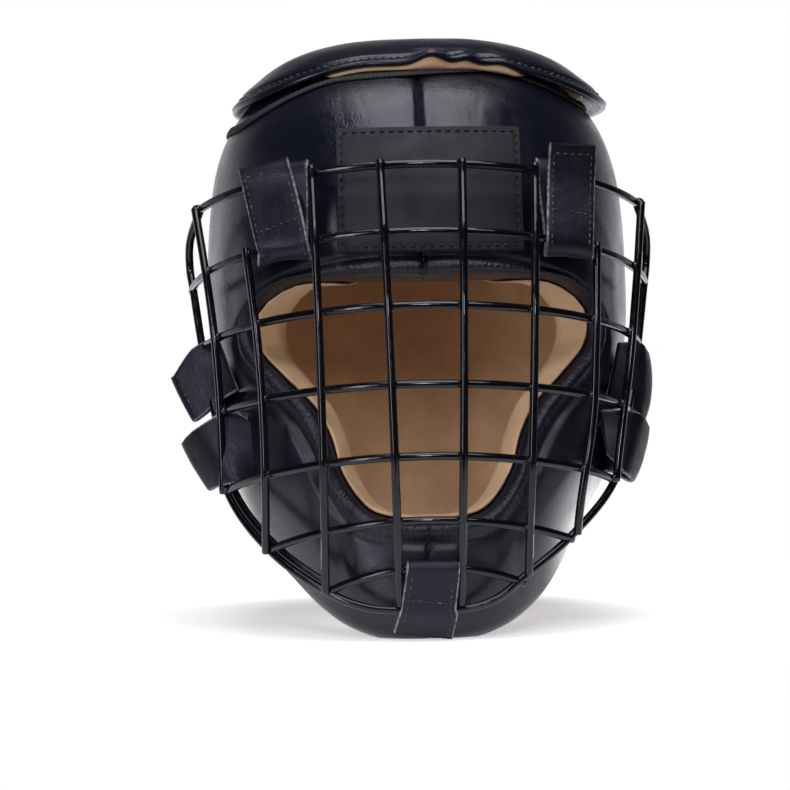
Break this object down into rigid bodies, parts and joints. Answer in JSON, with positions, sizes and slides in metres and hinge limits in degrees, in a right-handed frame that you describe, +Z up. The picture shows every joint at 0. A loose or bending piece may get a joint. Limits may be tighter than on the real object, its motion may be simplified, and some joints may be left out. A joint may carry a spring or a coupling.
{
  "type": "full face sparring helmet",
  "caption": "Padded leather sparring headguard with a separate crown pad, a tan lining and a welded wire cage over the face, held by leather hook-and-loop straps.",
  "frame": {"origin": "on the floor, under the middle of the helmet's box", "axes": "+Z up, the face looks along -Y, +X to the right as seen from the front; x = 0 is the plane of the centre seam"},
  "size_m": [0.2524, 0.2732, 0.2975],
  "materials": {
    "leather": "smooth black leather with a soft gloss",
    "strap_leather": "thin black leather, worn at the edges",
    "lining": "tan microfibre lining",
    "binding": "ribbed black binding tape",
    "patch": "matt dark grey rubber",
    "cage_wire": "black dip-coated steel wire"
  },
  "bodies": {
    "root": {"headguard_left": "leather", "headguard_right": "leather", "lining": "lining", "crown_pad": "leather", "crown_lining": "lining", "crown_binding": "binding", "front_patch": "patch", "cage": "cage_wire", "strap_top_left": "strap_leather", "strap_top_right": "strap_leather", "strap_side_upper_left": "strap_leather", "strap_side_lower_left": "strap_leather", "strap_side_upper_right": "strap_leather", "strap_side_lower_right": "strap_leather", "strap_chin": "strap_leather"}
  },
  "joints": []
}
